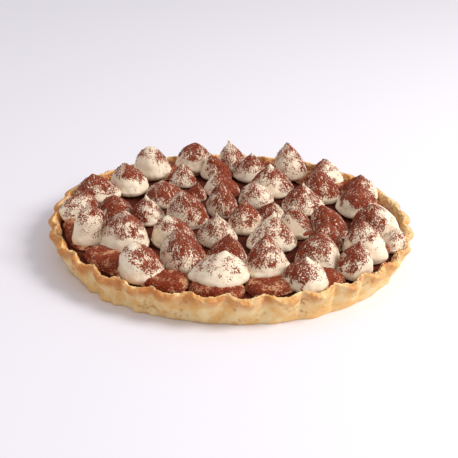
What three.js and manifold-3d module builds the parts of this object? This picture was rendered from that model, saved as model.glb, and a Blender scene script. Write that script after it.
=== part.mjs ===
// A tiramisu tart: a fluted shortcrust shell, a dark coffee filling, sponge fingers laid round the
// edge, and forty-five kisses of mascarpone cream piped on top.
// Millimetres, +Z up. The origin is the centre of the flat underside, and the front is -Y.
import * as THREE from "three";
import { mergeVertices } from "three/addons/utils/BufferGeometryUtils.js";
import Module from "manifold-3d";

const wasm = await Module();
wasm.setup();

// Shell: radii are of the outside, on a flute's crest
const rimRadius = 125.7;
const footRadius = 117;
const rimHeight = 19.3;
const shellFloor = 3.6;
const fluteCount = 32;
const fluteSteps = 6;
const flutePhase = 4.9; // degrees from the front to the first crest on its right
const fluteDepthRim = 4.6;
const fluteDepthFoot = 0.8;
const fluteDepthInside = 2.4;
const fluteBreadth = 0.7; // under 1 makes the crests broad and the grooves narrow
const wallAtCrest = 5.6;
const wallAtFloor = 5.2;
const rimSlope = 2.4; // how far the outer edge of the rim lies below its ridge on a crest
const grooveRise = 1.9; // how far the rim stands up between two crests
const rimSags = [
  { waves: 3, depth: 0.5, phase: 1 },
  { waves: 7, depth: 0.4, phase: 2.5 },
];
const rimCrag = 0.35;
const footRound = 1.0;
const flakeThickness = 0.6;

// Thin flakes of dough that squeezed under the ring of the tin: place round the foot in degrees,
// how far they stick out, and their half width in degrees
const footFlakes = [
  { angle: -48, reach: 2.4, spread: 1.5 },
  { angle: -41, reach: 3.4, spread: 2.4 },
  { angle: -36.3, reach: 3.0, spread: 1.5 },
  { angle: -28.4, reach: 2.2, spread: 1.5 },
  { angle: -23.6, reach: 1.8, spread: 1.2 },
  { angle: 13, reach: 1.0, spread: 2.0 },
  { angle: 26, reach: 1.2, spread: 2.2 },
  { angle: 104, reach: 1.9, spread: 2.2 },
  { angle: 171, reach: 2.2, spread: 2.0 },
];

// Clearance between pieces that touch
const gap = 0.3;

// Filling
const fillingLevel = 14.2;

// Sponge fingers round the edge: angle from the front (-Y) towards +X, in degrees
const fingerWidth = 23;
const fingerHeight = 6.4;
const fingerSquareness = 0.72;
const fingerSegments = 14;
const edgeFingers = [
  { angle: -76.8, radius: 102.5, length: 55, turn: 2 },
  { angle: -48.8, radius: 101.5, length: 43, turn: -1 },
  { angle: -23.3, radius: 101, length: 32, turn: 3 },
  { angle: -4.2, radius: 101, length: 34, turn: -5 },
  { angle: 14.6, radius: 99, length: 30, turn: 6 },
  { angle: 34.5, radius: 101, length: 30, turn: -2 },
  { angle: 70, radius: 101, length: 50, turn: 2 },
  { angle: 104, radius: 101, length: 54, turn: -2 },
  { angle: 138, radius: 101, length: 54, turn: 1 },
  { angle: 172, radius: 101, length: 54, turn: 3 },
  { angle: 207, radius: 101, length: 56, turn: -2 },
  { angle: 243, radius: 101, length: 54, turn: 1 },
];

// Cream kisses: where each stands, its width, the height of its underside, its own height, how far
// its tip leans, and how round its shoulder is (1.2 a cone, 2.2 a dome). Back to front.
const kisses = [
  { x: -60, y: 82, width: 26, base: 16.5, height: 22, lean: [-3, 2], dome: 2.2 },
  { x: -30, y: 97, width: 28, base: 17, height: 20, lean: [1, 1], dome: 2.2 },
  { x: 0, y: 100, width: 25, base: 17, height: 22, lean: [-4, 1], dome: 1.4 },
  { x: 14, y: 85, width: 27, base: 15, height: 21, lean: [0, 0], dome: 1.4 },
  { x: 43, y: 88, width: 26, base: 16, height: 28, lean: [-3, -1], dome: 1.75 },
  { x: 71, y: 76, width: 24, base: 16.5, height: 19, lean: [-3, 1], dome: 2.0 },
  { x: -75, y: 53, width: 29, base: 15.5, height: 21, lean: [-4, 1], dome: 1.8 },
  { x: -37, y: 70, width: 22, base: 15, height: 17, lean: [0, 0], dome: 1.4 },
  { x: -12, y: 85, width: 25, base: 15, height: 20, lean: [-6, 0], dome: 1.3 },
  { x: -7, y: 56, width: 28, base: 14.6, height: 17, lean: [-6, 0], dome: 1.3 },
  { x: 30, y: 59, width: 32, base: 14.6, height: 23, lean: [-3, -1], dome: 1.5 },
  { x: 66, y: 50, width: 28, base: 14.6, height: 24, lean: [-5, 0], dome: 1.5 },
  { x: 93, y: 49, width: 26, base: 16, height: 18, lean: [0, 2], dome: 1.8 },
  { x: 89, y: 25, width: 31, base: 16, height: 18, lean: [1, 1], dome: 2.1 },
  { x: -96, y: 35, width: 31, base: 16.5, height: 18, lean: [-4, 1], dome: 1.7 },
  { x: -107, y: 3, width: 31, base: 16, height: 18, lean: [7, 3], dome: 1.6 },
  { x: -81, y: 6, width: 26, base: 15, height: 16, lean: [-1, 1], dome: 1.8 },
  { x: -93, y: -38, width: 22, base: 15.5, height: 24.5, lean: [1, 2], dome: 2.7 },
  { x: -69, y: -44, width: 32, base: 15, height: 26, lean: [-1, 2], dome: 1.9 },
  { x: -55, y: -85, width: 28, base: 15, height: 22.5, lean: [-5, 3], dome: 2.1 },
  { x: -58, y: 1, width: 25, base: 14.6, height: 20, lean: [-1, -1], dome: 1.3 },
  { x: -49, y: 36, width: 29, base: 14.6, height: 16, lean: [-1, 1], dome: 1.8 },
  { x: -30, y: -1, width: 28, base: 14.6, height: 24, lean: [-4, 2], dome: 1.9 },
  { x: -7, y: 18, width: 23, base: 14.6, height: 24, lean: [-1, 1], dome: 1.7 },
  { x: 18, y: 36, width: 25, base: 14.6, height: 16, lean: [-2, 1], dome: 2.2 },
  { x: 50, y: 28, width: 30, base: 14.6, height: 21, lean: [0, 1], dome: 1.35 },
  { x: 10, y: -9, width: 24, base: 14.6, height: 22, lean: [-2, 1], dome: 1.6 },
  { x: 27, y: 11, width: 21, base: 14.6, height: 13, lean: [2, 0], dome: 1.6 },
  { x: 44, y: -14, width: 23, base: 14.6, height: 21.5, lean: [-2, 1], dome: 1.8 },
  { x: 67, y: -12, width: 26, base: 14.6, height: 21, lean: [-6, 1], dome: 1.9 },
  { x: 99, y: -13, width: 31, base: 16, height: 22, lean: [-3, 1], dome: 2.1 },
  { x: 109, y: -31, width: 18, base: 14.6, height: 13, lean: [1, 0], dome: 2.2 },
  { x: -37, y: -34, width: 31, base: 14.6, height: 20, lean: [-5, 0], dome: 1.9 },
  { x: -29, y: -70, width: 31, base: 14.6, height: 26, lean: [-5, 2], dome: 1.9 },
  { x: -9, y: -31, width: 27, base: 14.6, height: 22, lean: [-1, 0], dome: 1.35 },
  { x: -2, y: -56, width: 27, base: 14.6, height: 18, lean: [1, 1], dome: 1.4 },
  { x: 27, y: -34, width: 32, base: 14.6, height: 25, lean: [1, 1], dome: 1.3 },
  { x: 23, y: -79, width: 29, base: 17, height: 28, lean: [-1, 2], dome: 1.4 },
  { x: -6, y: -91, width: 34, base: 17.5, height: 19, lean: [3, 2], dome: 1.7, tail: [-97, 0.3] },
  { x: 47, y: -91, width: 29, base: 15.5, height: 19, lean: [0, 1], dome: 1.7 },
  { x: 57, y: -62, width: 28, base: 14.6, height: 23, lean: [0, 2], dome: 2.0 },
  { x: 79, y: -73, width: 25, base: 15, height: 22.5, lean: [2, 2], dome: 1.75 },
  { x: 88, y: -47, width: 29, base: 15, height: 25, lean: [-3, 2], dome: 2.0 },
  { x: -26, y: 43, width: 16, base: 14.6, height: 14, lean: [1, 0], dome: 1.3 },
  { x: 62, y: -38, width: 25, base: 14.6, height: 23, lean: [0, 1], dome: 1.5 },
];
const kissSegments = 12;
const kissLevels = [0.13, 0.34, 0.55, 0.74, 0.89];
const kissFoot = 0.84; // radius of the underside as a share of the widest
const kissNip = 0.5; // how much the nozzle's flick narrows the tip of a cone
const kissOverhang = 3.5; // how far inside the rim's outer edge cream may hang over the rim
const rimClearance = 2; // how far above the rim's ridge that cream stays
const kissWobble = 0.045;

const degrees = Math.PI / 180;
const firstCrest = flutePhase * degrees;
const colours = {
  pastry: new THREE.MeshStandardMaterial({ color: 0xe0b678, roughness: 0.8, metalness: 0 }),
  filling: new THREE.MeshStandardMaterial({ color: 0x5a2416, roughness: 0.85, metalness: 0 }),
  sponge: new THREE.MeshStandardMaterial({ color: 0x9a5a3c, roughness: 0.95, metalness: 0 }),
  cream: new THREE.MeshStandardMaterial({ color: 0xf1e8d4, roughness: 0.5, metalness: 0 }),
};

const mix = (a, b, share) => a + (b - a) * share;
const polar = (angle, radius) => [radius * Math.sin(angle * degrees), -radius * Math.cos(angle * degrees)];

// A repeatable draw between -1 and 1 for whole numbers a and b
function draw(a, b) {
  const wave = Math.sin(a * 127.1 + b * 311.7) * 43758.5453;
  return 2 * (wave - Math.floor(wave)) - 1;
}

// A geometry with +Y up becomes one with +Z up, and its angle 0 turns to the front
function upright(geometry) {
  return geometry.rotateX(Math.PI / 2);
}

// Calls move(point, angle, radius) on every vertex, with the angle from the front in radians
function reshape(geometry, move) {
  const position = geometry.getAttribute("position");
  const point = new THREE.Vector3();
  for (let i = 0; i < position.count; i++) {
    point.fromBufferAttribute(position, i);
    move(point, Math.atan2(point.x, -point.y), Math.hypot(point.x, point.y));
    position.setXYZ(i, point.x, point.y, point.z);
  }
  return geometry;
}

// A closed geometry as a manifold-3d solid
function toSolid(geometry) {
  const bare = new THREE.BufferGeometry();
  bare.setAttribute("position", geometry.getAttribute("position"));
  bare.setIndex(geometry.getIndex());
  const merged = mergeVertices(bare, 1e-3);
  const corners = merged.getIndex().array;
  const triVerts = [];
  for (let i = 0; i < corners.length; i += 3) {
    const [a, b, c] = corners.slice(i, i + 3);
    if (a !== b && b !== c && c !== a) triVerts.push(a, b, c);
  }
  return new wasm.Manifold(
    new wasm.Mesh({
      numProp: 3,
      vertProperties: merged.getAttribute("position").array,
      triVerts: new Uint32Array(triVerts),
    }),
  );
}

// A manifold-3d solid as a geometry
function toGeometry(solid) {
  const mesh = solid.getMesh();
  const geometry = new THREE.BufferGeometry();
  geometry.setAttribute("position", new THREE.BufferAttribute(mesh.vertProperties, 3));
  geometry.setIndex(new THREE.BufferAttribute(mesh.triVerts, 1));
  return geometry;
}

// Shell

// 1 on a flute's crest, 0 in the groove between two
function fluteWave(angle) {
  return ((1 + Math.cos(fluteCount * (angle - firstCrest))) / 2) ** fluteBreadth;
}

function outerRadius(wave, height) {
  const up = height / rimHeight;
  const depth = mix(fluteDepthFoot, fluteDepthRim, up);
  return mix(footRadius, rimRadius, up) - depth * (1 - wave);
}

function innerRadius(wave, height) {
  const up = (height - shellFloor) / (rimHeight - shellFloor);
  const crest = mix(footRadius - wallAtFloor, rimRadius - wallAtCrest, up);
  return crest - fluteDepthInside * (1 - wave) * mix(0.5, 1, up);
}

function flakeReach(angle) {
  let reach = 0;
  for (const flake of footFlakes) {
    let apart = angle / degrees - flake.angle;
    apart = (apart + 540) % 360 - 180;
    reach += flake.reach * Math.exp(-((apart / flake.spread) ** 2));
  }
  return reach;
}

// The height of the foot's outer edge: a rounded corner, or the thickness of a flake
function footEdge(angle) {
  return mix(footRound, flakeThickness, Math.min(1, flakeReach(angle)));
}

// The height of the rim's ridge: it waves with the flutes, sags a little here and there, and is craggy
function ridgeHeight(angle, wave) {
  const sags = rimSags.map((sag) => sag.depth * Math.sin(sag.waves * angle + sag.phase));
  const crag = rimCrag * draw(Math.round((angle * fluteCount * fluteSteps) / (2 * Math.PI)), 1);
  return rimHeight + grooveRise * (1 - wave) + sags[0] + sags[1] + crag;
}

function makeShell() {
  // The section of the wall, from the foot outside to the floor inside, as radius and height for an
  // angle and a flute's wave. The lathe's heights only number these rings until they are shaped.
  const rings = [
    (a, w) => [outerRadius(w, 0) - footRound + flakeReach(a) * 0.8, 0],
    (a, w) => [outerRadius(w, footRound) + flakeReach(a), footEdge(a)],
    (a, w) => [outerRadius(w, rimHeight * 0.3), rimHeight * 0.3],
    (a, w) => [outerRadius(w, rimHeight * 0.66) + 0.3, rimHeight * 0.66],
    (a, w) => [outerRadius(w, rimHeight) - 0.3, ridgeHeight(a, w) - mix(0.9, rimSlope, w)],
    (a, w) => [mix(outerRadius(w, rimHeight), innerRadius(w, rimHeight), 0.6), ridgeHeight(a, w)],
    (a, w) => [innerRadius(w, rimHeight) + 0.3, ridgeHeight(a, w) - 0.8],
    (a, w) => [innerRadius(w, fillingLevel), fillingLevel],
    (a, w) => [innerRadius(w, shellFloor), shellFloor],
  ];
  const profile = [new THREE.Vector2(0, 0)];
  rings.forEach((_, i) => profile.push(new THREE.Vector2(1, i + 1)));
  profile.push(new THREE.Vector2(0, shellFloor));
  const geometry = upright(new THREE.LatheGeometry(profile, fluteCount * fluteSteps, firstCrest));
  return reshape(geometry, (point, angle, radius) => {
    if (radius < 0.5) return;
    const [newRadius, height] = rings[Math.round(point.z) - 1](angle, fluteWave(angle));
    point.set(newRadius * Math.sin(angle), -newRadius * Math.cos(angle), height);
  });
}

// The filling fills the shell to its level, one flute to two of its sides
function makeFilling() {
  const heights = [shellFloor + gap, fillingLevel];
  const profile = [
    new THREE.Vector2(0, heights[0]),
    new THREE.Vector2(1, heights[0]),
    new THREE.Vector2(1, heights[1]),
    new THREE.Vector2(0, heights[1]),
  ];
  const geometry = upright(new THREE.LatheGeometry(profile, fluteCount * 2, firstCrest));
  return reshape(geometry, (point, angle, radius) => {
    if (radius < 0.5) return;
    const reach = innerRadius(fluteWave(angle), point.z) - gap;
    point.set(reach * Math.sin(angle), -reach * Math.cos(angle), point.z);
  });
}

// Sponge fingers

// One finger, flat below and domed above, its length along X, grown all round by the margin
function makeFinger(length, margin = 0) {
  const section = [
    [0, 0],
    [0.93, 0],
    [1, 0.3],
    [0.86, 0.76],
    [0.5, 0.97],
    [0, 1],
  ];
  const profile = section.map(([across, up]) => new THREE.Vector2(across, up));
  const geometry = upright(new THREE.LatheGeometry(profile, fingerSegments));
  const square = (value) => Math.sign(value) * Math.abs(value) ** fingerSquareness;
  return reshape(geometry, (point, angle, radius) => {
    const across = Math.sin(angle);
    const along = Math.cos(angle);
    point.x = square(across) * radius * (length / 2 + margin);
    point.y = -square(along) * radius * (fingerWidth / 2 + margin);
    point.z = point.z * (fingerHeight + margin * 2) - margin;
  });
}

function fingerPlace(finger) {
  const [x, y] = polar(finger.angle, finger.radius);
  return new THREE.Matrix4()
    .makeRotationZ((finger.angle + finger.turn) * degrees)
    .setPosition(x, y, fillingLevel + gap);
}

// All the fingers, grown by the clearance
function makeBed() {
  const grown = edgeFingers.map((finger) => {
    const geometry = makeFinger(finger.length, gap);
    return toSolid(geometry.applyMatrix4(fingerPlace(finger)));
  });
  return grown.reduce((bed, solid) => bed.add(solid));
}

// Cream kisses

// The radius of a kiss at a share of its height, as a share of its widest
function kissProfile(share, dome) {
  const belly = kissLevels[0];
  const up = (share - belly) / (1 - belly);
  const body = (1 - up ** dome) ** (1.05 - 0.4 * (dome - 1.2));
  const nip = THREE.MathUtils.smoothstep(up, 0.6, 0.95);
  return body * (1 - kissNip * nip * THREE.MathUtils.clamp(2.4 - dome, 0.1, 1));
}

// Soft cream gives way where two kisses meet, so each stays on its own side of the line between them
function stayInCell(point, kiss, index) {
  kisses.forEach((other, i) => {
    if (i === index) return;
    const away = new THREE.Vector2(other.x - kiss.x, other.y - kiss.y);
    const apart = away.length();
    if (apart > (kiss.width + other.width) * 0.75) return;
    away.divideScalar(apart);
    const share = (kiss.width ** 2 - other.width ** 2) / 8 / apart;
    const line = apart / 2 + share - gap / 2;
    const over = point.x * away.x + point.y * away.y - line;
    if (over > 0) {
      point.x -= over * away.x;
      point.y -= over * away.y;
    }
  });
  const height = kiss.base + point.z;
  const overRim = height > rimHeight + grooveRise + rimClearance;
  const limit = overRim ? rimRadius - kissOverhang : innerRadius(0, Math.min(height, rimHeight)) - gap;
  const reach = Math.hypot(kiss.x + point.x, kiss.y + point.y);
  if (reach > limit) {
    point.x = ((kiss.x + point.x) * limit) / reach - kiss.x;
    point.y = ((kiss.y + point.y) * limit) / reach - kiss.y;
  }
}

function makeKiss(kiss, index, bed) {
  const radius = kiss.width / 2;
  const profile = [new THREE.Vector2(0, 0), new THREE.Vector2(radius * kissFoot, 0)];
  for (const level of kissLevels) {
    profile.push(new THREE.Vector2(radius * kissProfile(level, kiss.dome), level * kiss.height));
  }
  profile.push(new THREE.Vector2(0, kiss.height));
  const geometry = upright(new THREE.LatheGeometry(profile, kissSegments));
  const [leanX, leanY] = kiss.lean;
  const [tailAngle, tailReach] = kiss.tail ?? [0, 0];
  reshape(geometry, (point, angle) => {
    const up = Math.max(0, point.z / kiss.height);
    const oval = Math.sin(2 * angle + 3 * draw(index, 2));
    const lump = Math.sin(3 * angle + 3 * draw(index, 3));
    const tail = tailReach * Math.max(0, Math.cos(angle - tailAngle * degrees)) ** 6 * (1 - up) ** 2;
    const swell = 1 + kissWobble * (oval + lump) + tail;
    point.x = point.x * swell + leanX * up ** 1.6;
    point.y = point.y * swell + leanY * up ** 1.6;
    stayInCell(point, kiss, index);
  });
  const cut = toSolid(geometry.translate(kiss.x, kiss.y, kiss.base)).subtract(bed);
  return toGeometry(cut).translate(-kiss.x, -kiss.y, -kiss.base);
}

const tart = new THREE.Group();

function add(name, geometry, material) {
  const mesh = new THREE.Mesh(geometry, material);
  mesh.name = name;
  tart.add(mesh);
  return mesh;
}

const numbered = (name, index) => `${name}_${String(index + 1).padStart(2, "0")}`;

add("crust", makeShell(), colours.pastry);
add("filling", makeFilling(), colours.filling);

edgeFingers.forEach((finger, i) => {
  const mesh = add(numbered("finger", i), makeFinger(finger.length), colours.sponge);
  mesh.applyMatrix4(fingerPlace(finger));
});

const bed = makeBed();
kisses.forEach((kiss, i) => {
  const mesh = add(numbered("kiss", i), makeKiss(kiss, i, bed), colours.cream);
  mesh.position.set(kiss.x, kiss.y, kiss.base);
});

export default tart;
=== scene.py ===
"""A tiramisu tart: shortcrust shell, coffee filling, sponge fingers, cream kisses and cocoa powder."""
import math

import bpy
import numpy as np
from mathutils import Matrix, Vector, noise
from mathutils.bvhtree import BVHTree


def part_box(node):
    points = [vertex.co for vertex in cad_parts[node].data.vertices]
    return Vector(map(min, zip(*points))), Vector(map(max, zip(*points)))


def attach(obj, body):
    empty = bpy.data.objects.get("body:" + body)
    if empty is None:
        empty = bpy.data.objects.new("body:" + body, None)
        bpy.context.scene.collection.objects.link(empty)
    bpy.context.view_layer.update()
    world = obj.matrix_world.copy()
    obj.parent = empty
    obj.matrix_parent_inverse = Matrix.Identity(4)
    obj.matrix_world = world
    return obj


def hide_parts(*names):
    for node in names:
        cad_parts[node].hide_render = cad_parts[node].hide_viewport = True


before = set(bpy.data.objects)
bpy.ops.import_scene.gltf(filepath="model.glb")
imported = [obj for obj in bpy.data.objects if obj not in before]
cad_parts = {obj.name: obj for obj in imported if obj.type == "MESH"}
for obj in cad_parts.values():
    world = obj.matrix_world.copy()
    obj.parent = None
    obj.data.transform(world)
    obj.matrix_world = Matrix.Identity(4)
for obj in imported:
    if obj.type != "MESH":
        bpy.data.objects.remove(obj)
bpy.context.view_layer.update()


# Camera
# The tart is seen from the front and a little above, through a long lens, and the picture leans
# slightly to the right.
camera_distance = 0.8
camera_elevation = math.radians(25.14)
camera_roll = math.radians(1.70)
camera_lens = 90.13
camera_sensor = 36
camera_shift = (-0.0035, 0.0303)

camera_data = bpy.data.cameras.new("camera")
camera_data.lens = camera_lens
camera_data.sensor_width = camera_sensor
camera_data.shift_x, camera_data.shift_y = camera_shift
camera = bpy.data.objects.new("camera", camera_data)
bpy.context.scene.collection.objects.link(camera)
camera.rotation_euler = (math.pi / 2 - camera_elevation, 0, 0)
camera.rotation_euler.rotate_axis("Z", camera_roll)
camera.location = (
    0,
    -camera_distance * math.cos(camera_elevation),
    camera_distance * math.sin(camera_elevation),
)
bpy.context.scene.camera = camera


# Floor and light
# A pale matt floor, a bright room all round, and one large soft window on the right, a little to
# the front, so that shadows fall softly to the left.
floor_size = 6
room_colour = (0.96, 0.94, 0.95)
room_strength = 0.69
window_place = (1.0, -0.18, 0.9)
window_size = 0.6
window_power = 16.5
window_colour = (1.0, 0.97, 0.93)


def linear(red, green, blue):
    """A screen colour, 0 to 255, as the linear colour that a material takes, by the sRGB curve."""
    channels = []
    for channel in (red, green, blue):
        share = channel / 255
        channels.append(share / 12.92 if share < 0.04045 else ((share + 0.055) / 1.055) ** 2.4)
    return (*channels, 1)


class Field:
    """A value that changes over a surface, so that sums can be written on it."""

    def __init__(self, finish, socket):
        self.finish = finish
        self.socket = socket

    def __add__(self, other):
        return self.finish.reckon("ADD", self, other)

    def __sub__(self, other):
        return self.finish.reckon("SUBTRACT", self, other)

    def __rsub__(self, other):
        return self.finish.reckon("SUBTRACT", other, self)

    def __mul__(self, other):
        return self.finish.reckon("MULTIPLY", self, other)

    __radd__ = __add__
    __rmul__ = __mul__

    def swing(self, amount):
        """A pattern of 0 to 1 as one that swings to both sides of nothing."""
        return (self - 0.5) * amount


class Finish:
    """One material: its shader, with what is the same all over, and the nodes that vary the rest."""

    def __init__(self, name, constants):
        self.material = bpy.data.materials.new(name)
        self.material.use_nodes = True
        self.tree = self.material.node_tree
        self.shader = self.tree.nodes["Principled BSDF"]
        for socket, value in constants.items():
            self.shader.inputs[socket].default_value = value

    def node(self, kind, settings, inputs, output=0):
        """Adds a node, with its settings first and then the values or fields of its sockets."""
        node = self.tree.nodes.new(kind)
        for name, value in settings.items():
            setattr(node, name, value)
        for name, value in inputs.items():
            if isinstance(value, Field):
                self.tree.links.new(value.socket, node.inputs[name])
            else:
                node.inputs[name].default_value = value
        return Field(self, node.outputs[output])

    def reckon(self, operation, first, second):
        return self.node("ShaderNodeMath", {"operation": operation}, {0: first, 1: second})

    def attribute(self, name, output="Fac"):
        return self.node("ShaderNodeAttribute", {"attribute_name": name}, {}, output)

    def place(self):
        return self.node("ShaderNodeTexCoord", {}, {}, "Object")

    def noise(self, where, scale, detail=2.0, roughness=0.55):
        inputs = {"Vector": where, "Scale": scale, "Detail": detail, "Roughness": roughness}
        return self.node("ShaderNodeTexNoise", {}, inputs)

    def step(self, value, low, high):
        """0 up to low, 1 from high on, and smooth between."""
        inputs = {"Value": value, "From Min": low, "From Max": high}
        return self.node("ShaderNodeMapRange", {"interpolation_type": "SMOOTHSTEP"}, inputs)

    def blend(self, share, first, second):
        return self.node("ShaderNodeMix", {"data_type": "RGBA"}, {0: share, 6: first, 7: second}, 2)

    def bump(self, height, distance, strength):
        inputs = {"Height": height, "Distance": distance, "Strength": strength}
        self.feed("Normal", self.node("ShaderNodeBump", {}, inputs))

    def feed(self, socket, field):
        self.tree.links.new(field.socket, self.shader.inputs[socket])


bpy.ops.object.select_all(action="DESELECT")
bpy.ops.mesh.primitive_plane_add(size=floor_size)
floor = bpy.context.object
floor.name = "floor"
floor_finish = Finish("pale_floor", {"Base Color": linear(232, 230, 238), "Roughness": 0.7})
floor.data.materials.append(floor_finish.material)

world = bpy.data.worlds.new("room")
world.use_nodes = True
world.node_tree.nodes["Background"].inputs["Color"].default_value = room_colour + (1,)
world.node_tree.nodes["Background"].inputs["Strength"].default_value = room_strength
bpy.context.scene.world = world
bpy.context.scene.view_settings.view_transform = "Standard"

window_data = bpy.data.lights.new("window", "AREA")
window_data.energy = window_power
window_data.size = window_size
window_data.color = window_colour
window = bpy.data.objects.new("window", window_data)
window.location = window_place
window.rotation_euler = (-Vector(window_place)).to_track_quat("-Z", "Y").to_euler()
bpy.context.scene.collection.objects.link(window)


# Crust
# The shell is baked shortcrust, pressed into a fluted tin: a pale wall with pores and short cracks,
# and a crumbly rim that has browned. Pieces are sized in millimetres, and finishes in metres.
solid_columns = 192
hub_radius = 50
wall_middle = (116, 9.5)
wall_start = math.radians(123)
underside = [(0, 0), (70, 0), (108, 0)]
shell_floor = [(100, 3.6), (0, 3.6)]
crust_around = 1152
wall_samples = 8
flat_radius = 109
# Corners of the wall's section, numbered from the middle of the underside: where its outside
# ends, where its inside begins, where the top of the rim begins, and where pores and cracks end
outside_ends = (8.6, 7.6)
inside_begins = (8.2, 9.2)
rim_top_begins = (7.3, 7.9)
wall_corners = (11, 8)
wall_heights = (1.5, 3.5)
rim_heights = (15.5, 18.5)
wall_radius = 120
flute_count = 32
first_crest = math.radians(4.9)
crease_depth = 1.3
crease_height = 9
crack_depth = 0.45
crack_width = (0.12, 0.02)
crack_length_ratio = 5
pit_depth = 0.35
pit_size = 2.4
pale_pastry = linear(236, 210, 157)
golden_pastry = linear(228, 182, 112)
browned_and_shaded_pastry = linear(196, 120, 54)
# Painted shade: the brown that darkens the cracks and pits
pore_shade_brown = linear(176, 116, 60)
cocoa_dark = linear(88, 27, 11)
cocoa_light = linear(158, 70, 40)


def solid_points(node):
    """The corners of a node's solid, each once."""
    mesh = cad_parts[node].data
    points = np.empty(len(mesh.vertices) * 3)
    mesh.vertices.foreach_get("co", points)
    return np.unique(np.round(points.reshape(-1, 3) * 1000, 3), axis=0)


def turns(count):
    """Even angles round the tart or a piece, from the front towards +X."""
    return np.arange(count) * 2 * math.pi / count


def directions(angles):
    """The level direction at each angle."""
    return np.stack([np.sin(angles), -np.cos(angles), 0 * angles], axis=-1)


def through(points, at, closed):
    """A smooth curve through evenly numbered points, at the places named by number."""
    count = len(points)
    before = np.floor(at).astype(int)
    if not closed:
        before = np.minimum(before, count - 2)
    share = (at - before).reshape((-1,) + (1,) * (points.ndim - 1))

    def pick(step):
        index = before + step
        return points[index % count] if closed else points[np.clip(index, 0, count - 1)]

    earlier, start, end, later = pick(-1), pick(0), pick(1), pick(2)
    bend = (2 * earlier - 5 * start + 4 * end - later) * share ** 2
    bend = bend + (3 * start - earlier - 3 * end + later) * share ** 3
    return start + 0.5 * ((end - earlier) * share + bend)


def finer_ring(form, around):
    """Rings that are given at a few even angles, given at more of them on a smooth curve."""
    places = np.arange(around) * form.shape[1] / around
    return np.moveaxis(through(np.moveaxis(form, 1, 0), places, True), 1, 0)


def smooth(low, high, value):
    """0 up to low, 1 from high on, and smooth between."""
    share = np.clip((value - low) / (high - low), 0, 1)
    return share * share * (3 - 2 * share)


def lumps(points, size, seed=0.0):
    """Noise of about -1 to 1 whose lumps have the given size, at each of many points."""
    shift = Vector((seed, seed * 0.7, -seed))
    flat = points.reshape(-1, 3) / size
    values = [noise.noise(Vector(point) + shift) for point in flat]
    return np.array(values).reshape(points.shape[:-1]) * 1.6


def weighed(*parts):
    """The sum of some fields, each given after its weight."""
    return sum(weight * field for weight, field in parts)


def outward(places):
    """The outward direction of a closed surface at each place of its rings and segments."""
    along = np.gradient(places, axis=0)
    around = np.roll(places, -1, axis=1) - np.roll(places, 1, axis=1)
    normal = np.cross(around, along)
    length = np.linalg.norm(normal, axis=-1, keepdims=True)
    return normal / np.maximum(length, 1e-9)


def shaped_ball(name, places, attributes):
    """A ball whose rings, from the underside to the top, are moved to the given places."""
    rings, around = places.shape[0] - 1, places.shape[1]
    bpy.ops.object.select_all(action="DESELECT")
    bpy.ops.mesh.primitive_uv_sphere_add(segments=around, ring_count=rings, radius=1)
    piece = bpy.context.object
    piece.name = name
    mesh = piece.data
    start = np.empty(len(mesh.vertices) * 3)
    mesh.vertices.foreach_get("co", start)
    start = start.reshape(-1, 3)
    ring = np.round((np.arcsin(np.clip(start[:, 2], -1, 1)) / math.pi + 0.5) * rings).astype(int)
    turn = np.arctan2(start[:, 0], -start[:, 1]) / (2 * math.pi)
    segment = np.round(turn * around).astype(int) % around
    segment[(ring == 0) | (ring == rings)] = 0
    mesh.vertices.foreach_set("co", (places[ring, segment] / 1000).ravel())
    for title, values in attributes.items():
        vector = values.ndim == 3
        kind = "FLOAT_VECTOR" if vector else "FLOAT"
        layer = mesh.attributes.new(title, kind, "POINT")
        layer.data.foreach_set("vector" if vector else "value", values[ring, segment].ravel())
    bpy.ops.object.shade_smooth()
    mesh.update()
    return piece


crust_points = solid_points("crust")
crust_points = crust_points[np.hypot(crust_points[:, 0], crust_points[:, 1]) > hub_radius]
crust_angles = np.arctan2(crust_points[:, 0], -crust_points[:, 1])
first_column = np.angle(np.mean(np.exp(1j * crust_angles * solid_columns))) / solid_columns
column_numbers = (crust_angles - first_column) * solid_columns / (2 * math.pi)
column_numbers = np.round(column_numbers).astype(int) % solid_columns
columns = []
for number in range(solid_columns):
    corner = crust_points[column_numbers == number]
    section = np.stack([np.hypot(corner[:, 0], corner[:, 1]), corner[:, 2]], axis=-1)
    turned = np.arctan2(section[:, 1] - wall_middle[1], section[:, 0] - wall_middle[0])
    section = section[np.argsort((turned + wall_start) % (2 * math.pi))]
    columns.append([*underside, *section, *shell_floor])
columns = through(np.array(columns), np.arange(crust_around) * solid_columns / crust_around, True)
first_corner = len(underside)
last_corner = columns.shape[1] - len(shell_floor) - 1
wall_places = np.linspace(first_corner, last_corner, (last_corner - first_corner) * wall_samples + 1)
floor_places = last_corner + 1 + np.arange(len(shell_floor))
section_places = np.concatenate([np.arange(first_corner), wall_places, floor_places])
sections = through(np.moveaxis(columns, 1, 0), section_places, False)

crust_turn = first_column + turns(crust_around)
crust_places = sections[..., :1] * directions(crust_turn)
crust_places[..., 2] = sections[..., 1]
crust_height = crust_places[..., 2]
crust_number = np.broadcast_to(section_places[:, None], crust_height.shape)

outside = smooth(*outside_ends, crust_number)
inside = smooth(*inside_begins, crust_number)
near_rim = smooth(*rim_heights, crust_height)
on_wall = smooth(*wall_heights, crust_height) * smooth(*wall_corners, crust_number) * (1 - near_rim)
coarse = lumps(crust_places, size=2.6)
fine = lumps(crust_places, size=1.1, seed=5)
broad = lumps(crust_places, size=9, seed=9)
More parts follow.
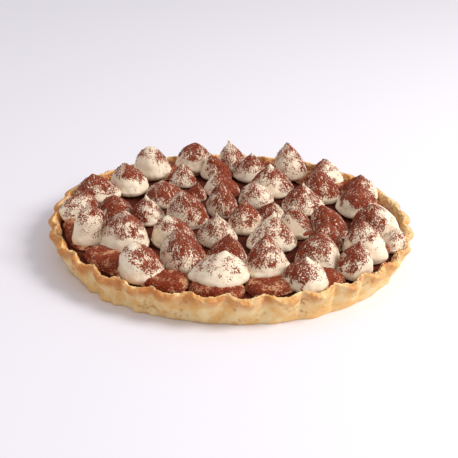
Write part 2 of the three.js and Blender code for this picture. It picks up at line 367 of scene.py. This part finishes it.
# The wall laid out flat and drawn tall, so that noise on it makes cracks that run level
unrolled = np.zeros(crust_places.shape)
unrolled[..., 0] = crust_turn * wall_radius
unrolled[..., 1] = crust_height * crack_length_ratio
crack_patches = smooth(0.35, 0.65, lumps(crust_places, size=14, seed=21))
crack = smooth(*crack_width, np.abs(lumps(unrolled, size=6.5, seed=3))) * crack_patches * on_wall
pit_patches = smooth(0.0, 0.5, lumps(crust_places, size=11, seed=41))
pits = smooth(0.6, 0.8, lumps(crust_places, pit_size, seed=31)) * pit_patches * on_wall
crest = np.abs(np.cos((crust_turn - first_crest) * flute_count / 2))
crease = (1 - crest) ** 3 * outside * smooth(0, crease_height, crust_height)
# Lumps and crumbs in millimetres, with the cracks, the pits and the creases between flutes cut in
relief = weighed(
    (0.40, near_rim * coarse),
    (0.36, near_rim * fine),
    (0.05, on_wall * fine),
    (0.08, on_wall * broad),
    (0.30, inside * coarse),
    (0.20, inside * fine),
    (-crack_depth, crack),
    (-pit_depth, pits),
    (-crease_depth, crease),
)
relief = relief * smooth(0.2, 1.2, crust_height) * (sections[..., 0] > flat_radius)
crust_places = crust_places + outward(crust_places) * relief[..., None]
crust_places[..., 2] = np.maximum(crust_places[..., 2], 0)

left_side = smooth(50, -110, crust_places[..., 0])
back_side = smooth(20, 90, crust_places[..., 1])
right_front = smooth(60, 100, crust_places[..., 0]) * smooth(0, -40, crust_places[..., 1])
# The browned top of the outer wall, made darker on the left with painted shade
browned_and_shaded = smooth(8.0, 18.0, crust_height) * outside * (0.75 + 0.35 * left_side)
# How brown each part is: most at the rim, at the foot and inside, more on the left and at the back.
# The extra brown on the outside of the left side, away from the window, is painted shade
bake_and_shade = weighed(
    (0.80, browned_and_shaded),
    (0.25, browned_and_shaded * broad),
    (0.20, near_rim * coarse),
    (0.40, smooth(1.6, 0.3, crust_height)),
    (0.22, left_side * outside),
    (0.10, broad),
    (0.50, inside),
    (0.25, inside * left_side),
    (0.30, inside * back_side),
)
# Cocoa fell inside the rim, and on the rim itself, mostly at the front on the right
inner_dust = 0.8 * inside * smooth(15.6, 13.8, crust_height)
rim_dust = smooth(*rim_top_begins, crust_number) * (0.14 + 0.36 * right_front + 0.16 * broad)
rim_dust = rim_dust + 0.3 * inside * back_side * smooth(19.5, 17.5, crust_height)
crust = shaped_ball("baked_crust", crust_places, {
    "bake_and_shade": np.clip(bake_and_shade, 0, 1),
    "pore_shade": np.clip(crack + pits, 0, 1),
    "cocoa": np.clip(np.maximum(inner_dust, rim_dust), 0, 1),
})

pastry = Finish("shortcrust", {"Roughness": 0.75, "Subsurface Weight": 0.08, "Subsurface Scale": 0.002})
where = pastry.place()
grain = pastry.noise(where, scale=900, detail=3)
patches = pastry.noise(where, scale=120, detail=3)
pastry_colour = pastry.blend(pastry.step(patches, low=0.35, high=0.65), pale_pastry, golden_pastry)
# Painted shade on the outer left comes in with the baked browning, through the bake attribute
uneven_bake_and_shade = pastry.attribute("bake_and_shade") + patches.swing(0.4) + grain.swing(0.4)
brown_and_shade_share = pastry.step(uneven_bake_and_shade, low=0.1, high=1.15)
pastry_colour = pastry.blend(brown_and_shade_share * 0.9, pastry_colour, browned_and_shaded_pastry)
# Painted shade: the cracks and pits are darkened towards brown
pastry_colour = pastry.blend(pastry.attribute("pore_shade") * 0.7, pastry_colour, pore_shade_brown)
specks = pastry.step(pastry.noise(where, scale=1000, detail=1) + patches.swing(0.4), low=0.66, high=0.72)
pastry_colour = pastry.blend(specks * 0.35, pastry_colour, browned_and_shaded_pastry)
rim_cocoa = pastry.step(pastry.attribute("cocoa") + grain.swing(1.8), low=0.44, high=0.56)
cocoa_colour = pastry.blend(grain, cocoa_dark, cocoa_light)
pastry.feed("Base Color", pastry.blend(rim_cocoa, pastry_colour, cocoa_colour))
pastry.bump(grain + patches * 0.5, distance=0.0004, strength=0.4)
crust.data.materials.append(pastry.material)
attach(crust, "root")
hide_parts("crust")


# Flakes at the foot
# Thin ragged slips of the same dough, baked on to the foot of the wall, where it squeezed out
# under the ring of the tin.
flake_thickness = 0.7
flake_edge = 0.14
flake_corners = 26
flake_radius = 116.2
flake_root = 1.5
flake_raggedness = 0.34
flake_bake = 0.42
# For each flake: its place round the foot in degrees from the front towards +X, how far it
# reaches out, and its length along the foot
flakes = [
    (-48, 2.4, 6), (-41, 3.4, 10), (-36.3, 3.0, 6), (-28.4, 2.2, 6), (-23.6, 1.9, 4), (26, 1.2, 9),
    (13, 1.0, 7), (62, 1.8, 7), (104, 1.8, 9), (140, 2.2, 6), (171, 2.0, 9), (-140, 2.0, 7), (-92, 1.8, 8),
]
slips = []
for number, (place, out, length) in enumerate(flakes):
    bpy.ops.object.select_all(action="DESELECT")
    bpy.ops.mesh.primitive_cylinder_add(
        vertices=flake_corners,
        radius=1,
        depth=flake_thickness / 1000,
        location=(0, 0, flake_thickness / 2 / 1000),
    )
    slip = bpy.context.object
    slips.append(slip)
    bpy.ops.object.mode_set(mode="EDIT")
    bpy.ops.mesh.select_all(action="SELECT")
    bpy.ops.mesh.bevel(offset=flake_edge / 1000, segments=2)
    bpy.ops.object.mode_set(mode="OBJECT")
    bpy.ops.object.transform_apply(location=True)
    turn = math.radians(place)
    for vertex in slip.data.vertices:
        angle = math.atan2(vertex.co.y, vertex.co.x)
        outline = noise.noise(Vector((3 * math.cos(angle), 3 * math.sin(angle), 5.1 * number)))
        ragged = 1 + flake_raggedness * outline
        along = vertex.co.x * ragged * length / 2
        radius = flake_radius - flake_root + vertex.co.y * ragged * (out + flake_root)
        vertex.co.x = (radius * math.sin(turn) + along * math.cos(turn)) / 1000
        vertex.co.y = (-radius * math.cos(turn) + along * math.sin(turn)) / 1000
bpy.ops.object.select_all(action="DESELECT")
for slip in slips:
    slip.select_set(True)
bpy.context.view_layer.objects.active = slips[0]
bpy.ops.object.join()
foot_flakes = bpy.context.object
foot_flakes.name = "foot_flakes"
bpy.ops.object.mode_set(mode="EDIT")
bpy.ops.mesh.select_all(action="SELECT")
bpy.ops.mesh.normals_make_consistent(inside=False)
bpy.ops.object.mode_set(mode="OBJECT")
bpy.ops.object.shade_smooth_by_angle(angle=math.radians(40))
layer = foot_flakes.data.attributes.new("bake_and_shade", "FLOAT", "POINT")
layer.data.foreach_set("value", np.full(len(foot_flakes.data.vertices), flake_bake))
foot_flakes.data.materials.append(pastry.material)
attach(foot_flakes, "root")


# Filling
# A dark set filling fills the shell almost to the rim, and the cocoa that was sifted over the tart
# covers what shows of it between the toppings.
filling_around = 384
filling_under_shares = (0, 0.5, 0.985)
filling_top_shares = np.linspace(1, 0, 60)
filling_sink = 0.1
# Darker copies of the cocoa colours for the filling: painted shade for the deep gaps between the toppings
shaded_cocoa_dark = linear(72, 24, 12)
shaded_cocoa_light = linear(128, 54, 32)


def solid_tree(nodes):
    """The solids of some nodes as one, ready to have rays cast at them."""
    corners, faces = [], []
    for node in nodes:
        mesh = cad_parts[node].data
        first = len(corners)
        corners.extend(vertex.co.copy() for vertex in mesh.vertices)
        faces.extend([first + number for number in face.vertices] for face in mesh.polygons)
    return BVHTree.FromPolygons(corners, faces)


def reach(tree, origin, angles):
    """How far the solid goes from a point inside it, level, at each angle."""
    spans = []
    for direction in directions(angles):
        direction = Vector(direction)
        place, normal, _, distance = tree.ray_cast(Vector(origin) / 1000, direction)
        leaving = place is not None and normal.dot(direction) > 0
        spans.append(distance * 1000 if leaving else np.nan)
    return np.array(spans)


def disc(edge, shares, angles, height):
    """Level rings at the given shares of an edge's radius."""
    rings = directions(angles)[None] * edge[None, :, None] * np.array(shares)[:, None, None]
    rings[..., 2] = height
    return rings


filling_low, filling_high = (np.array(corner) * 1000 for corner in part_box("filling"))
filling_turn = turns(filling_around)
filling_edge = reach(solid_tree(["filling"]), (0, 0, filling_high[2] - 1), filling_turn)
under = disc(filling_edge, filling_under_shares, filling_turn, filling_low[2])
top = disc(filling_edge, filling_top_shares, filling_turn, filling_high[2])
top[..., 2] += weighed((0.22, lumps(top, size=3.0)), (0.15, lumps(top, size=1.3, seed=4))) - filling_sink
filling = shaped_ball("dark_filling", np.concatenate([under, top]), {})

cocoa = Finish("cocoa_powder", {"Roughness": 0.95, "Specular IOR Level": 0.15})
grain = cocoa.noise(cocoa.place(), scale=700, detail=4, roughness=0.7)
cocoa.feed("Base Color", cocoa.blend(cocoa.step(grain, low=0.35, high=0.7), cocoa_dark, cocoa_light))
cocoa.bump(grain, distance=0.0012, strength=0.9)

# Painted shade: the cocoa on the filling is drawn darker than the cocoa elsewhere
shaded_cocoa = Finish("shaded_cocoa", {"Roughness": 0.9, "Specular IOR Level": 0.2})
grain = shaded_cocoa.noise(shaded_cocoa.place(), scale=700, detail=4, roughness=0.7)
shaded_cocoa_share = shaded_cocoa.step(grain, low=0.4, high=0.75)
shaded_cocoa.feed("Base Color", shaded_cocoa.blend(shaded_cocoa_share, shaded_cocoa_dark, shaded_cocoa_light))
shaded_cocoa.bump(grain, distance=0.0012, strength=0.9)
filling.data.materials.append(shaded_cocoa.material)
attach(filling, "root")
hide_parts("filling")


# Sponge fingers
# Soft sponge biscuits laid end to end along the rim. Cocoa was sifted over them, thinly, so the
# tan sponge shows through in flecks, and more of it where the cream kept the cocoa off.
# The shares of a finger's height at which its width is read from its solid
finger_levels = (0.3, 0.76, 0.95)
finger_foot = 0.93
finger_angles = 28
finger_around = 128
finger_samples = np.concatenate([[0, 0.6], np.linspace(1, 5, 37)])
finger_cocoa = 0.66
shelter_rounds = 4
tan_sponge = linear(216, 166, 118)
thin_dust = linear(192, 138, 108)

sponge = Finish("sponge_biscuit", {"Roughness": 0.92, "Specular IOR Level": 0.2})
where = sponge.place()
grain = sponge.noise(where, scale=900, detail=4, roughness=0.7)
patches = sponge.noise(where, scale=200)
flecks = sponge.noise(where, scale=850)
dust = sponge.attribute("cocoa")
dusted = sponge.step(dust + flecks.swing(1.9) + grain.swing(0.8) + patches.swing(0.9), low=0.36, high=0.62)
powder = sponge.blend(sponge.step(grain, low=0.3, high=0.7), cocoa_dark, cocoa_light)
bare = sponge.blend(sponge.step(dust + grain.swing(0.8), low=0.1, high=0.7), tan_sponge, thin_dust)
sponge.feed("Base Color", sponge.blend(dusted, bare, powder))
sponge.bump(grain, distance=0.0012, strength=0.8)


def finger_places(node):
    """The surface of one finger, with a soft crumbly skin."""
    low, high = (np.array(corner) * 1000 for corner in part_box(node))
    centre = (low + high) / 2
    tree = solid_tree([node])
    rings = []
    for level in finger_levels:
        origin = (centre[0], centre[1], low[2] + level * (high[2] - low[2]))
        rings.append(reach(tree, origin, turns(finger_angles)))
    pole = np.zeros(finger_angles)
    radii = np.vstack([pole, rings[0] * finger_foot, *rings, pole])
    heights = np.array([0, 0, *finger_levels, 1]) * (high[2] - low[2]) + low[2]
    form = np.stack([radii, np.broadcast_to(heights[:, None], radii.shape)], axis=-1)
    form = through(finer_ring(form, finger_around), finger_samples, False)
    places = np.maximum(form[..., :1], 0) * directions(turns(finger_around))
    places[..., :2] += centre[:2]
    places[..., 2] = form[..., 1]
    rough = weighed((0.26, lumps(places, size=1.7)), (0.35, lumps(places, size=5, seed=11)))
    above = smooth(low[2] + 0.3, low[2] + 1.5, places[..., 2])
    return places + outward(places) * (rough * above)[..., None]


def sheltered(places, cover):
    """1 where the cover hangs over a surface and 0 in the open, with a soft edge."""
    shelter = np.zeros(places.shape[:2])
    for spot in np.ndindex(shelter.shape):
        shelter[spot] = cover.ray_cast(Vector(places[spot]) / 1000, Vector((0, 0, 1)))[0] is not None
    for _ in range(shelter_rounds):
        beside = [np.roll(shelter, shift, axis) for shift in (-1, 1) for axis in (0, 1)]
        shelter = np.maximum(shelter, 0.9 * np.mean(beside, axis=0) + 0.1 * np.max(beside, axis=0))
    return shelter


kiss_cover = solid_tree(sorted(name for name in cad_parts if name.startswith("kiss_")))
for node in sorted(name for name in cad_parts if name.startswith("finger_")):
    places = finger_places(node)
    shelter = sheltered(places, kiss_cover)
    dust = finger_cocoa + weighed((0.28, lumps(places, size=6, seed=17)), (-0.5, shelter))
    finger = shaped_ball(f"sponge_{node}", places, {"cocoa": np.clip(dust, 0, 1)})
    finger.data.materials.append(sponge.material)
    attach(finger, "root")
    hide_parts(node)


# Cream kisses
# Mascarpone cream piped from a plain nozzle, each kiss pressed a little by its neighbours and
# ending in the flick that the nozzle leaves. Cocoa was sifted over them, thickest on one side.
# The shares of a kiss's height at which its width is read from its solid, on an axis that leans
# to its tip
kiss_levels = (0.13, 0.34, 0.55, 0.74, 0.89)
kiss_angles = 12
kiss_around = 96
kiss_lean = 1.6
kiss_foot = 0.84
kiss_seed = 7.3
# For each kiss: how much cocoa lies on it, the side that it lies on in degrees from the front
# towards +X, how one-sided it is, the level below which the cream is clean, and the side in
# degrees on which a slip of cream has stayed white (None where there is none)
dusting = {
    "kiss_01": (0.62, 180, 0.26, 0.30, -8),
    "kiss_02": (0.68, 180, 0.10, 0.40, None),
    "kiss_03": (0.53, 60, 0.08, 0.00, None),
    "kiss_04": (0.68, -150, 0.15, 0.26, 5),
    "kiss_05": (0.63, 180, 0.20, -0.20, None),
    "kiss_06": (0.50, -90, 0.28, 0.15, None),
    "kiss_07": (0.66, 150, 0.20, 0.44, None),
    "kiss_08": (0.68, 180, 0.16, 0.00, None),
    "kiss_09": (0.74, 90, 0.30, 0.10, -60),
    "kiss_10": (0.70, 90, 0.30, 0.10, -60),
    "kiss_11": (0.66, 180, 0.15, 0.05, 5),
    "kiss_12": (0.76, 150, 0.12, 0.16, None),
    "kiss_13": (0.62, -90, 0.30, 0.20, None),
    "kiss_14": (0.80, 170, 0.06, 0.44, None),
    "kiss_15": (0.70, -120, 0.15, 0.22, None),
    "kiss_16": (0.54, 110, 0.22, 0.10, None),
    "kiss_17": (0.66, 60, 0.08, 0.05, None),
    "kiss_18": (0.50, 105, 0.18, 0.30, None),
    "kiss_19": (0.64, 170, 0.15, 0.38, None),
    "kiss_20": (0.60, 120, 0.20, 0.26, -30),
    "kiss_21": (0.62, -100, 0.25, 0.06, 28),
    "kiss_22": (0.62, 60, 0.10, 0.08, None),
    "kiss_23": (0.61, 100, 0.16, 0.05, None),
    "kiss_24": (0.65, 60, 0.14, 0.05, None),
    "kiss_25": (0.40, -90, 0.10, 0.12, None),
    "kiss_26": (0.65, -110, 0.22, 0.20, None),
    "kiss_27": (0.72, 180, 0.12, 0.14, None),
    "kiss_28": (0.62, -90, 0.28, 0.10, None),
    "kiss_29": (0.57, 60, 0.22, 0.06, -20),
    "kiss_30": (0.70, 40, 0.05, 0.08, None),
    "kiss_31": (0.48, -80, 0.42, 0.12, None),
    "kiss_32": (0.38, 90, 0.10, 0.05, None),
    "kiss_33": (0.64, 150, 0.28, 0.20, -40),
    "kiss_34": (0.62, 100, 0.14, 0.06, None),
    "kiss_35": (0.43, -60, 0.12, 0.08, None),
    "kiss_36": (0.70, -30, 0.10, 0.12, None),
    "kiss_37": (0.45, 60, 0.18, 0.12, -5),
    "kiss_38": (0.57, -75, 0.16, 0.24, None),
    "kiss_39": (0.36, 150, 0.20, 0.22, 0),
    "kiss_40": (0.54, -92, 0.34, 0.25, 35),
    "kiss_41": (0.60, -100, 0.30, 0.20, None),
    "kiss_42": (0.58, -98, 0.26, 0.22, None),
    "kiss_43": (0.62, -120, 0.24, 0.48, None),
    "kiss_44": (0.74, 0, 0.08, 0.05, None),
    "kiss_45": (0.74, -60, 0.15, 0.10, None),
}
# Marks that a few kisses have: ledges left where the nozzle turned, as level and depth, and one curl
kiss_ledges = {
    "kiss_07": [(0.2, 0.03)],
    "kiss_19": [(0.17, 0.07)],
    "kiss_29": [(0.22, 0.04)],
    "kiss_31": [(0.14, 0.06)],
    "kiss_32": [(0.22, 0.08), (0.45, 0.07), (0.68, 0.06)],
    "kiss_33": [(0.15, 0.07)],
    "kiss_38": [(0.2, 0.05)],
}
curl_kiss = "kiss_14"
curl_turn = math.radians(-48)
curl_level = 0.5
curl_radius = 2.4
curl_height = 0.35
cream_white = linear(243, 229, 208)
cream_shade = linear(237, 219, 191)
cocoa_veil = linear(210, 140, 104)

# The rows of a kiss's section: the middle and half of its underside, its foot, a row at each level,
# and the tip. It is sampled closely up to the shoulder, and closer still on the flick.
foot_row = 2
shoulder_row = foot_row + len(kiss_levels)
tip_share = 1 - (1 - np.linspace(0, 1, 14)) ** 2
underside_samples = [0, 0.5, 1, 1.4, 1.7]
side_samples = np.linspace(foot_row, shoulder_row, 41)[:-1]
kiss_samples = np.concatenate([underside_samples, side_samples, shoulder_row + tip_share])


def kiss_form(node):
    """The foot and tip of a kiss, and its section at each angle as radius and height over the foot."""
    corners = solid_points(node)
    low, high = corners[:, 2].min(), corners[:, 2].max()
    tip = corners[corners[:, 2].argmax()]
    body = corners[corners[:, 2] < low + 0.5 * (high - low)]
    foot = (body.min(axis=0) + body.max(axis=0)) / 2
    foot[2] = low
    tree = solid_tree([node])
    rings = []
    for level in kiss_levels:
        origin = foot + (tip - foot) * (level ** kiss_lean, level ** kiss_lean, level)
        rings.append(reach(tree, origin, turns(kiss_angles)))
    rings = np.array(rings)
    for row in range(len(kiss_levels) - 2, -1, -1):
        lost = np.isnan(rings[row]) | (rings[row] < 0.9 * rings[row + 1])
        rings[row] = np.where(lost, rings[row + 1] * 1.08, rings[row])
    pole = np.zeros(kiss_angles)
    radii = np.vstack([pole, rings[0] * 0.5, rings[0] * kiss_foot, rings, pole])
    heights = np.array([0, 0, 0, *kiss_levels, 1]) * (high - low)
    form = np.stack([radii, np.broadcast_to(heights[:, None], radii.shape)], axis=-1)
    return foot, tip, form


def with_flick(form):
    """The section with its top drawn in to the flick: a dome first, and then a thin nib."""
    top_ring = form.shape[0] - len(tip_share)
    shoulder = form[top_ring, :, 0]
    fullness = shoulder.mean() / form[..., 0].max()
    power = np.interp(fullness, (0.2, 0.45), (0.85, 0.55))
    above = tip_share[:, None]
    dome = shoulder * np.clip(1 - above * 1.09, 0, 1) ** power
    nib = 1.3 * (1 - above) * smooth(0.6, 0.95, above)
    form[top_ring:, :, 0] = np.hypot(dome, nib)
    form[-1, :, 0] = 0
    return form


def facing(normal, degrees):
    """How far each place of a surface faces a side, given in degrees from the front towards +X."""
    side = math.radians(degrees)
    return normal[..., 0] * math.sin(side) - normal[..., 1] * math.cos(side)


cream = Finish("mascarpone_cream", {
    "Subsurface Weight": 0.25,
    "Subsurface Radius": (1.0, 0.8, 0.6),
    "Subsurface Scale": 0.003,
    "Specular IOR Level": 0.35,
})
# The flow of the cream drags the powder into streaks that run up each kiss
flow = cream.attribute("grain", "Vector")
drawn = cream.node("ShaderNodeVectorMath", {"operation": "MULTIPLY"}, {0: flow, 1: (1, 1, 0.5)})
streaks = cream.noise(flow, scale=0.62, detail=3, roughness=0.6)
fine_streaks = cream.noise(flow, scale=1.3, detail=2, roughness=0.6)
specks = cream.noise(cream.place(), scale=1050, detail=1)
clouds = cream.noise(flow, scale=0.2)
amount = cream.attribute("cocoa")
covered = cream.step(amount + streaks.swing(2.0) + fine_streaks.swing(1.7), low=0.43, high=0.57)
bare_spots = cream.noise(drawn, scale=0.52, detail=2, roughness=0.6) + clouds.swing(0.7)
flecks = cream.step(bare_spots, low=0.53, high=0.57)
strays = cream.step(specks + amount * 0.3, low=0.655, high=0.70) * cream.step(amount, low=0.02, high=0.2)
thick = cream.reckon("MAXIMUM", covered * (1 - flecks), strays)
veil = cream.step(amount + clouds.swing(1.2) + fine_streaks.swing(0.6), low=0.2, high=0.95)
cream_colour = cream.blend(clouds, cream_white, cream_shade)
cream_colour = cream.blend(veil * (1 - flecks * 0.85) * 0.7, cream_colour, cocoa_veil)
powder_share = cream.step(fine_streaks + specks.swing(1), low=0.3, high=0.75)
powder = cream.blend(powder_share, cocoa_dark, cocoa_light)
cream.feed("Base Color", cream.blend(thick, cream_colour, powder))
cream.feed("Roughness", thick * 0.45 + 0.48)
cream.bump(thick * 0.35 + thick * fine_streaks * 0.5 + streaks * 0.06, distance=0.0008, strength=0.7)

kiss_surfaces = []
for number, (node, (cover, dust_side, one_sided, hem, white_side)) in enumerate(dusting.items(), start=1):
    seed = kiss_seed * number
    foot, tip, form = kiss_form(node)
    form = with_flick(through(finer_ring(form, kiss_around), kiss_samples, False))
    level = np.clip(form[..., 1] / (tip[2] - foot[2]), 0, 1)
    width = form[..., 0].max()
    places = np.maximum(form[..., :1], 0) * directions(turns(kiss_around))
    places[..., 2] = form[..., 1]
    swell = weighed((0.06, lumps(places, width * 0.9, seed)), (0.03, lumps(places, 4, seed + 3)))
    swell = swell * smooth(0, 0.1, level)
    for at, depth in kiss_ledges.get(node, []):
        swell = swell + depth * smooth(at + 0.035, at - 0.035, level)
    places[..., :2] *= 1 + swell[..., None]
    places[..., :2] += foot[:2] + (tip - foot)[:2] * (level ** kiss_lean)[..., None]
    places[..., 2] += foot[2]

    normal = outward(places)
    hem_line = level + 0.12 * lumps(places, 4, seed + 9)
    spread = cover - 0.10 + weighed(
        (0.40, normal[..., 2] - 0.5),
        (one_sided, facing(normal, dust_side)),
        (0.22, lumps(places, 5.5, seed + 5)),
        (-0.65, smooth(hem + 0.20, hem - 0.16, hem_line)),
    )
    if white_side is not None:
        white = facing(normal, white_side) * (1 - 0.3 * normal[..., 2])
        spread = spread - 0.5 * smooth(0.55, 0.85, white) - 0.4 * smooth(0.80, 0.97, level)
    if node == curl_kiss:
        ring = int(np.argmin(np.abs(level[:, 0] - curl_level)))
        middle = places[ring, round(curl_turn / (2 * math.pi) * kiss_around) % kiss_around]
        curl = smooth(0.7, 0.1, np.abs(np.linalg.norm(places - middle, axis=-1) - curl_radius))
        places = places + normal * (curl_height * curl)[..., None]
        spread = spread - 0.45 * curl

    climb = np.cumsum(np.linalg.norm(np.diff(places, axis=0, prepend=places[:1]), axis=-1), axis=0)
    flow_places = np.broadcast_to(width * directions(turns(kiss_around)), places.shape).copy()
    flow_places[..., 2] = climb * 0.75
    twist = np.stack([lumps(places, 6, seed + shift) for shift in (20, 30, 40)], axis=-1)
    kiss = shaped_ball(f"cream_{node}", places, {
        "cocoa": np.clip(0.5 + 1.3 * (spread - 0.5), 0.03, 1),
        "grain": flow_places + 2.2 * twist + seed,
    })
    kiss.data.materials.append(cream.material)
    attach(kiss, "root")
    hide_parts(node)
    kiss_surfaces.append((places, normal, spread))


# Cocoa grains
# The coarser grains of the sifted cocoa, which lie on the cream, half sunk in it, and give the
# powder its rough edge. They keep off the underside of a kiss and the end of its flick.
grain_count = 8200
grain_radii = (0.13, 0.34)
grain_unevenness = (0.6, 1.3)
grain_lift = 0.1
grain_scatter = 0.25
grain_rings = slice(6, -9)

draw = np.random.default_rng(11)
spots, leans, thickness, girth = [], [], [], []
for places, normal, spread in kiss_surfaces:
    rings = places[grain_rings]
    spots.append(rings.reshape(-1, 3))
    leans.append(normal[grain_rings].reshape(-1, 3))
    thickness.append(spread[grain_rings].ravel())
    girth.append(np.linalg.norm(rings - rings.mean(axis=1, keepdims=True), axis=-1).ravel())
spots, leans = np.concatenate(spots), np.concatenate(leans)
thickness, girth = np.concatenate(thickness), np.concatenate(girth)
weight = np.clip(thickness, 0.04, 0.8) * np.clip(leans[:, 2] + 0.35, 0.05, 1) * girth
chosen = draw.choice(len(spots), grain_count, p=weight / weight.sum(), replace=False)

bpy.ops.object.select_all(action="DESELECT")
bpy.ops.mesh.primitive_ico_sphere_add(subdivisions=1, radius=1)
grains = bpy.context.object
grains.name = "cocoa_grains"
ball = np.array([vertex.co[:] for vertex in grains.data.vertices])
ball_faces = np.array([face.vertices[:] for face in grains.data.polygons])
radius = draw.uniform(*grain_radii, grain_count)[:, None, None]
radius = radius * draw.uniform(*grain_unevenness, (grain_count, len(ball), 1))
middle = spots[chosen] + leans[chosen] * grain_lift + draw.normal(0, grain_scatter, (grain_count, 3))
points = (middle[:, None] + ball[None] * radius).reshape(-1, 3) / 1000
faces = (ball_faces[None] + len(ball) * np.arange(grain_count)[:, None, None]).reshape(-1, 3)
grains.data.clear_geometry()
grains.data.from_pydata(points.tolist(), [], faces.tolist())
grains.data.materials.append(cocoa.material)
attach(grains, "root")
